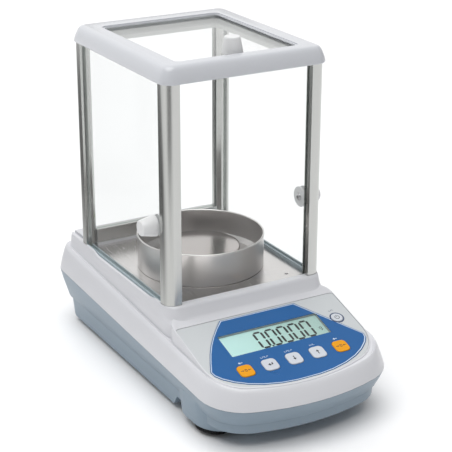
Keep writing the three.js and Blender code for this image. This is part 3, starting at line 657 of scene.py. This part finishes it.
SIGN_V = KEY_ROW_V + 11.0
signs = []
for key, width in (("key_enter", 9.0), ("key_down", 9.2), ("key_up", 5.8)):
    signs += little_sign(KEYS[key], SIGN_V, width)
for key in ("key_tare_left", "key_tare_right"):
    signs.append(arrow(KEYS[key], SIGN_V, 180, 4.6, 1.9, 0.8))
plates("key_signs", signs, LABEL_TOP, LABEL_TOP + PRINT, "mark_pale", "housing", slot="label_film")
plates(
    "power_sign", little_sign(POWER_KEY[0] - 0.5, POWER_KEY[1] + 11.2, 5.0), OVERLAY_TOP,
    OVERLAY_TOP + PRINT, "mark_navy", "housing", slot="overlay_film",
)


LABEL_TOP_V = 34.2  # the straight upper edge and how far it reaches each way
LABEL_TOP_U = 41
LABEL_HALF_W = 83
LABEL_CORNER_V = -26.5  # the widest place
LABEL_SWELL = 4  # how far the left edge bows outwards
LABEL_NOSE = [  # right half of the rounded lower edge
    (82, -32.5), (77.5, -38.5), (69, -45.5), (58, -51.8), (44, -57), (28, -60.6), (12, -62.2),
]


def label_outline(grow):
    """The edge of the printed keypad field, offset outwards by grow."""
    top = LABEL_TOP_V + grow
    half = LABEL_HALF_W + grow
    corner = LABEL_CORNER_V + grow * 0.3
    outline = [(-LABEL_TOP_U - grow, top), (LABEL_TOP_U + grow, top), (half, corner)]
    outline += [(u + grow * u / LABEL_HALF_W, v - grow) for u, v in LABEL_NOSE]
    outline += [(-u - grow * u / LABEL_HALF_W, v - grow) for u, v in reversed(LABEL_NOSE)]
    outline.append((-half, corner))
    steps = 6
    for i in range(1, steps):
        t = i / steps
        swell = LABEL_SWELL * math.sin(math.pi * t)
        u = -LABEL_HALF_W + (LABEL_HALF_W - LABEL_TOP_U) * t - swell * 0.83
        v = LABEL_CORNER_V + (LABEL_TOP_V - LABEL_CORNER_V) * t + swell * 0.56
        outline.append((u - grow, v + grow * 0.4))
    return outline


band(
    "label_border", label_outline(-0.5), label_outline(-1.2), LABEL_TOP, LABEL_TOP + 0.06,
    "mark_pale", "housing", slot="label_film",
)
band(
    "power_ring", circle(*POWER_KEY, 7.2), circle(*POWER_KEY, 6.25), LABEL_TOP,
    LABEL_TOP + 0.12, "mark_navy", "housing", slot="overlay_film",
)

# ------------------------------------------------------------------ seven-segment display
DIGIT_COUNT = 5
DIGIT_PITCH = 12.6
FIRST_DIGIT_U = -14.2
DIGIT_V = -0.7
DIGIT_HALF_W = 4.1
DIGIT_HALF_H = 10.6
SEGMENT = 2.3
POINT_STEP = 6.425  # the decimal point stands this far right of the first digit
POINT_R = 1.1
UNIT_MARK = (48.8, -4.8)  # small sign at the right end of the display


def segment(u0, v0, u1, v1, width, gap):
    """One display segment: a bar with pointed ends that stops short of its corners."""
    length = math.hypot(u1 - u0, v1 - v0)
    du, dv = (u1 - u0) / length, (v1 - v0) / length
    h = width / 2
    a = (u0 + du * gap, v0 + dv * gap)
    b = (u1 - du * gap, v1 - dv * gap)
    return [
        a, (a[0] + du * h + dv * h, a[1] + dv * h - du * h),
        (b[0] - du * h + dv * h, b[1] - dv * h - du * h), b,
        (b[0] - du * h - dv * h, b[1] - dv * h + du * h),
        (a[0] + du * h - dv * h, a[1] + dv * h + du * h),
    ]


def digit(u, v, half_w, half_h, lit, width=SEGMENT):
    """The lit bars of one seven-segment digit, whose middle is at (u, v)."""
    corners = {
        "a": (-1, 1, 1, 1), "b": (1, 1, 1, 0), "c": (1, 0, 1, -1), "d": (-1, -1, 1, -1),
        "e": (-1, 0, -1, -1), "f": (-1, 1, -1, 0), "g": (-1, 0, 1, 0),
    }
    bars = []
    for name in lit:
        x0, y0, x1, y1 = corners[name]
        bars.append(segment(
            u + x0 * half_w, v + y0 * half_h, u + x1 * half_w, v + y1 * half_h, width,
            0.18 * width,
        ))
    return bars


ink = []
for i in range(DIGIT_COUNT):
    ink += digit(FIRST_DIGIT_U + DIGIT_PITCH * i, DIGIT_V, DIGIT_HALF_W, DIGIT_HALF_H, "abcdef")
ink.append(circle(FIRST_DIGIT_U + POINT_STEP, DIGIT_V - DIGIT_HALF_H, POINT_R, 16))
ink += digit(*UNIT_MARK, 1.1, 2.2, "abcdfg", 0.6)
plates(
    "display_digits", ink, LCD_FACE, LCD_FACE + PRINT, "segment_ink", "housing",
    slot="display_face",
)

# ------------------------------------------------------------------ draft ring and pan
ring_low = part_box("draft_ring")[0].z / MM
ring_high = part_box("draft_ring")[1].z / MM
RING_R = 63.6
RING_WALL = 1.1
LIP_R = 1.0
at_pan = Matrix.Translation(Vector((0, PAN_Y, 0)) * MM)


def ring_profile():
    """Wall, rolled lip and the shallow floor that leaves a gap round the pan."""
    inner = RING_R - RING_WALL
    hole = 45.0
    lip_r, lip_z = RING_R - 0.5, ring_high - LIP_R
    profile = [(RING_R - 0.3, ring_low), (RING_R, ring_low + 0.3), (RING_R, lip_z - LIP_R)]
    steps = 12
    for i in range(steps + 1):
        a = math.radians(-50 + 280 * i / steps)
        profile.append((lip_r + LIP_R * math.cos(a), lip_z + LIP_R * math.sin(a)))
    profile += [(inner, lip_z - 1.2), (inner, ring_low + 8.6)]
    floor_top, bend_r, bend_h, steps = ring_low + 3.9, 3.78, 4.7, 6
    for i in range(1, steps + 1):
        along = math.sin(math.radians(90 * i / steps))
        profile.append((inner - bend_r * along, floor_top + bend_h * (1 - along)))
    profile += [(hole + 0.4, ring_low + 3.4), (hole, ring_low + 3.2), (hole, ring_low + 2.6)]
    profile += [(hole + 0.3, ring_low + 2.4), (RING_R - 4.6, ring_low + 2.9)]
    profile += [(RING_R - 1.6, ring_low + 3.1), (inner, ring_low + 0.3), (inner + 0.3, ring_low)]
    profile.append(profile[0])
    return profile


PAN_PROFILE = [  # over the top, round the rim, under the plate and down the socket
    (0, 115.3), (37.6, 115.3), (38.7, 115.2), (39.5, 114.85), (39.9, 114.3), (40, 113.6),
    (40, 111.9), (39.8, 111.6), (39.4, 111.6), (39.2, 111.9), (39.2, 113.9), (8, 114),
    (7, 104.2), (4.2, 104.2), (3.6, 111.4), (0, 111.4),
]

lathe(
    "ring_wall", ring_profile(), "turned_stainless", "ring", at_pan, 144,
    stands_for=["draft_ring"], slot="stainless",
)
lathe(
    "pan_disc", PAN_PROFILE, "pan_stainless", "pan", at_pan, 128,
    stands_for=["weighing_pan"], slot="stainless",
)

# ------------------------------------------------------------------ door knobs
KNOB_PROFILE = [
    (0, 12), (2.3, 12), (2.3, 0.3), (9.6, 0.3), (10.1, 0.45), (10.3, 0.9), (10.25, 1.6),
    (7.75, 14.2), (7.5, 15.2), (6.9, 15.8), (6.0, 16.0), (4.2, 15.85), (0, 15.7),
]
WASHER_PROFILE = [
    (2.3, -3.3), (10.1, -3.3), (10.3, -3.5), (10.3, -4.3), (10.0, -4.7), (9.4, -4.8),
    (4.6, -4.8), (4.4, -4.5), (2.3, -4.5), (2.3, -3.3),
]
SCREW_PROFILE = [
    (0, 11), (1.9, 11), (1.9, -4.6), (3.7, -4.6), (3.7, -5.3), (3.3, -6.0), (2.5, -6.55),
    (1.3, -6.75), (0, -6.8),
]


def painted_drive_shade(name, matrix):
    """Two dark bars that cross on the screw's head: painted shade that stands in for the hollow of
    its drive.
    """
    def place(u, v, w):
        return matrix @ (Vector((u, v, w)) * MM)

    reach, width = 1.7, 0.55
    low, high = -6.86, -6.7
    bars = [stroke(-reach, 0, reach, 0, width), stroke(0, -reach, 0, reach, width)]
    for tag, bar in zip("ab", bars):
        plates(
            f"{name}_drive_{tag}", [bar], low, high, "dark_print_and_shade", name, place,
            slot="bright_steel",
        )


def knob(name, matrix):
    """The knob of one door: local Z points out of the pane, from its outer face."""
    lathe(
        f"{name}_handle", KNOB_PROFILE, "knob_plastic", name, matrix, 72,
        stands_for=[f"{name}_knob"], slot="knob_plastic",
    )
    lathe(
        f"{name}_disc", WASHER_PROFILE, "knob_plastic", name, matrix, 64,
        stands_for=[f"{name}_washer"], slot="knob_plastic",
    )
    lathe(
        f"{name}_bolt", SCREW_PROFILE, "bright_steel", name, matrix, 40,
        stands_for=[f"{name}_screw"], slot="bright_steel",
    )
    painted_drive_shade(name, matrix)


for sign, name in ((-1, "left_door"), (1, "right_door")):
    turn = Matrix.Rotation(sign * math.pi / 2, 4, "Y")
    y, z = SIDE_KNOB
    x = sign * (DOOR_X + GLASS / 2)
    knob(name, Matrix.Translation(Vector((x, y, z)) * MM) @ turn)
top_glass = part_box("top_door_glass")[1].z / MM
knob("top_door", Matrix.Translation(Vector((0, TOP_KNOB_Y, top_glass)) * MM))

# ------------------------------------------------------------------ feet
RIBS = 48
RIB_SHAPE = (0, 0.55, 1, 0.55)  # how deep the wheel's edge lies along one rib
WHEEL_ROWS = [  # radius, height and depth of the ribs, from the underside up to the stud's top
    (18.4, 3.6, 0), (19.8, 3.85, 0.2), (20.4, 4.5, 0.9), (20.4, 8.2, 0.9), (19.8, 8.8, 0.2),
    (18.4, 9.0, 0), (6.0, 9.0, 0), (4.4, 9.2, 0), (3.9, 9.8, 0), (3.9, 29.5, 0),
]
PAD_PROFILE = [
    (0, 0), (13.6, 0), (14.6, 0.4), (15, 1.2), (15, 2.6), (14.6, 3.2), (13.8, 3.3), (0, 3.3),
]


def ribbed_wheel(name, x, y, body, cad_node):
    """A levelling wheel with its ribbed edge and its stud, on the axis through (x, y)."""
    count = RIBS * len(RIB_SHAPE)
    points, faces = [], []
    for radius, z, depth in WHEEL_ROWS:
        for i in range(count):
            a = 2 * math.pi * i / count
            r = radius - depth * RIB_SHAPE[i % len(RIB_SHAPE)]
            points.append(Vector((x + r * math.cos(a), y + r * math.sin(a), z)) * MM)
    for row in range(len(WHEEL_ROWS) - 1):
        low, high = row * count, (row + 1) * count
        for i in range(count):
            j = (i + 1) % count
            faces.append([low + i, low + j, high + j, high + i])
    last = (len(WHEEL_ROWS) - 1) * count
    faces.append(list(range(count))[::-1])
    faces.append([last + i for i in range(count)])
    wheel = add_piece(
        name, mesh_from(name, points, faces), "wheel_plastic", body, "wheel_plastic", [cad_node]
    )
    smooth(wheel, 38)


for sign, name in ((-1, "left"), (1, "right")):
    x, y = sign * WHEEL[0], WHEEL[1]
    body = f"level_foot_{name}"
    ribbed_wheel(f"wheel_{name}", x, y, body, f"level_wheel_{name}")
    lathe(
        f"wheel_pad_{name}", PAD_PROFILE, "foot_rubber", body,
        Matrix.Translation(Vector((x, y, 0)) * MM), 72,
        stands_for=[f"level_pad_{name}"], slot="foot_rubber",
    )

# ------------------------------------------------------------------ bubble level
DOME_PROFILE = [
    (0, 96.3), (7.8, 96.3), (7.8, 100.0), (7.4, 100.5), (6.0, 101.0), (3.4, 101.45), (0, 101.6),
]
BUBBLE_PROFILE = [(0, 101.3), (2.0, 101.3), (2.0, 101.55), (1.3, 101.72), (0, 101.78)]
RING_MARK_PROFILE = [(2.9, 101.3), (3.4, 101.3), (3.4, 101.6), (2.9, 101.62), (2.9, 101.3)]
at_level = Matrix.Translation(Vector((0, LEVEL_Y, 0)) * MM)
lathe(
    "vial_dome", DOME_PROFILE, "level_liquid", "housing", at_level, 64,
    stands_for=["level_vial"], slot="clear_glass",
)
lathe(
    "vial_bubble", BUBBLE_PROFILE, "level_bubble", "housing", at_level, 40, slot="clear_glass"
)
lathe(
    "vial_ring_mark", RING_MARK_PROFILE, "dark_print_and_shade", "housing", at_level, 48,
    slot="dark_plastic",
)

# ------------------------------------------------------------------ serial socket
SOCKET = (38.0, 27.0)
INSULATOR_HALF = (11.7, 3.9)
INSULATOR_Y = (172.6, 174.6)
PIN_ROOT_Y = 174.7
PIN_PITCH = 2.77
ROW_GAP = 2.84
PIN_PROFILE = [(0, 0), (0.5, 0), (0.5, 3.4), (0.3, 3.8), (0, 3.9)]
towards_rear = Matrix.Rotation(-math.pi / 2, 4, "X")


def serial_insulator():
    """The dark insulator that carries the pins, set deep in the metal shell."""
    def place(u, v, w):
        return Vector((SOCKET[0] + u, w, SOCKET[1] + v)) * MM

    half_w, half_h = INSULATOR_HALF
    outline = [(-half_w, -half_h), (half_w, -half_h), (half_w, half_h), (-half_w, half_h)]
    front, back = INSULATOR_Y
    plates(
        "serial_insulator", [outline], back, front, "dark_plastic", "housing", place,
        slot="dark_plastic",
    )


serial_insulator()
for row, count in ((0.5, 5), (-0.5, 4)):
    for i in range(count):
        x = SOCKET[0] + (i - (count - 1) / 2) * PIN_PITCH
        z = SOCKET[1] + row * ROW_GAP
        lathe(
            f"serial_pin_{count}_{i}", PIN_PROFILE, "bright_steel", "housing",
            Matrix.Translation(Vector((x, PIN_ROOT_Y, z)) * MM) @ towards_rear, 16,
            slot="bright_steel",
        )

# ------------------------------------------------------------------ camera
CAMERA_PLACE = (-0.6218, -1.0959, 0.6376)
LOOK_DOWN = 21.25  # degrees
LOOK_RIGHT = 29.83
CAMERA_ROLL = -0.14
LENS = 110.3
camera_data = bpy.data.cameras.new("camera")
camera_data.lens = LENS
camera_data.sensor_width = 36.0
camera_data.clip_start = 0.05
camera_data.clip_end = 60.0
camera = bpy.data.objects.new("camera", camera_data)
camera.location = CAMERA_PLACE
camera.rotation_euler = Euler(
    (math.radians(90 - LOOK_DOWN), math.radians(CAMERA_ROLL), math.radians(-LOOK_RIGHT))
)
bpy.context.scene.collection.objects.link(camera)
bpy.context.scene.camera = camera

# ------------------------------------------------------------------ floor and light
FLOOR = 9.0  # half the floor's width, in metres
floor_mesh = bpy.data.meshes.new("floor")
floor_mesh.from_pydata(
    [(-FLOOR, -FLOOR, 0), (FLOOR, -FLOOR, 0), (FLOOR, FLOOR, 0), (-FLOOR, FLOOR, 0)],
    [],
    [(0, 1, 2, 3)],
)
floor_mesh.materials.append(
    surface("floor_white", (0.93, 0.93, 0.935), 0.55, drift=0.004, drift_size=0.6, relief=0.02)
)
floor = bpy.data.objects.new("floor", floor_mesh)
bpy.context.scene.collection.objects.link(floor)


def sun(name, strength, spread, tilt, turn):
    """A broad, even lamp that shines from tilt degrees off vertical, at azimuth turn."""
    data = bpy.data.lights.new(name, "SUN")
    data.energy = strength
    data.angle = math.radians(spread)
    lamp = bpy.data.objects.new(name, data)
    lamp.rotation_euler = Euler((math.radians(tilt), 0, math.radians(turn)))
    bpy.context.scene.collection.objects.link(lamp)


sun("key_light", 2.35, 58, 11, -60)


# Colours of the cards that paint dark reflections into the glossy parts.
CARD_RIM = (0.85, 0.85, 0.85, 1)
CARD_MIDDLE = (0.10, 0.10, 0.10, 1)


def card_material():
    """Dark in the middle and paling nearly to the floor's shade at the rim of the card: a painted
    reflection.
    """
    material, tree, shader = new_material("card_painted_reflection")
    place = node(tree, "ShaderNodeTexCoord").outputs["Object"]
    falloff = node(tree, "ShaderNodeTexGradient", {"Vector": place}, gradient_type="SPHERICAL")
    ramp = node(tree, "ShaderNodeValToRGB", {"Fac": falloff.outputs["Fac"]})
    ramp.color_ramp.interpolation = "EASE"
    ramp.color_ramp.elements[0].color = CARD_RIM
    ramp.color_ramp.elements[1].position = 0.55
    ramp.color_ramp.elements[1].color = CARD_MIDDLE
    tree.links.new(ramp.outputs[0], shader.inputs["Base Color"])
    shader.inputs["Roughness"].default_value = 0.9
    shader.inputs["Specular IOR Level"].default_value = 0.1
    return material


def painted_reflection_card(name, x, y, reach_x, reach_y):
    """A dark sheet just over the floor, which shows only where glossy faces mirror it: a painted
    reflection, not a lamp or a shadow.
    """
    mesh = bpy.data.meshes.new(name)
    corners = [(-1, -1, 0), (1, -1, 0), (1, 1, 0), (-1, 1, 0)]
    mesh.from_pydata(corners, [], [(0, 1, 2, 3)])
    mesh.materials.append(card_material())
    card = bpy.data.objects.new(name, mesh)
    card.location = (x, y, 0.002)
    card.scale = (reach_x, reach_y, 1)
    card.visible_camera = False
    card.visible_diffuse = False
    card.visible_shadow = False
    card.visible_transmission = False
    bpy.context.scene.collection.objects.link(card)


# Painted reflections: dark patches that only the glossy metal and glass mirror.
painted_reflection_card("left_card", -0.5, 0.72, 0.5, 0.95)
painted_reflection_card("front_card", -0.72, -1.0, 0.6, 0.75)

SKY_LOW = (0.08, 0.08, 0.08, 1)
SKY_HIGH = (0.34, 0.34, 0.34, 1)
BACKDROP = 0.75  # added brightness behind the balance


def studio_world():
    """A dim room, brighter overhead, with a bright backdrop towards +Y."""
    world = bpy.data.worlds.new("studio")
    world.use_nodes = True
    bpy.context.scene.world = world
    tree = world.node_tree
    where = node(tree, "ShaderNodeTexCoord").outputs["Generated"]
    parts = node(tree, "ShaderNodeSeparateXYZ", {0: where})
    height = node(
        tree,
        "ShaderNodeMapRange",
        {"Value": parts.outputs[2], "From Min": -0.1, "From Max": 1.0},
    )
    ramp = node(tree, "ShaderNodeValToRGB", {"Fac": height.outputs[0]})
    ramp.color_ramp.elements[0].color = SKY_LOW
    ramp.color_ramp.elements[1].color = SKY_HIGH
    ramp.color_ramp.elements[1].position = 0.75
    backdrop = node(
        tree,
        "ShaderNodeMapRange",
        {"Value": parts.outputs[1], "From Min": 0.1, "From Max": 0.75, "To Max": BACKDROP},
    )
    shade = node(
        tree, "ShaderNodeVectorMath", {0: ramp.outputs[0], 1: backdrop.outputs[0]},
        operation="ADD",
    )
    background = next(n for n in tree.nodes if n.type == "BACKGROUND")
    background.inputs["Strength"].default_value = 1.0
    tree.links.new(shade.outputs[0], background.inputs["Color"])


studio_world()

view = bpy.context.scene.view_settings
view.view_transform = "Standard"
view.look = "None"
view.exposure = 0.0
view.gamma = 1.0
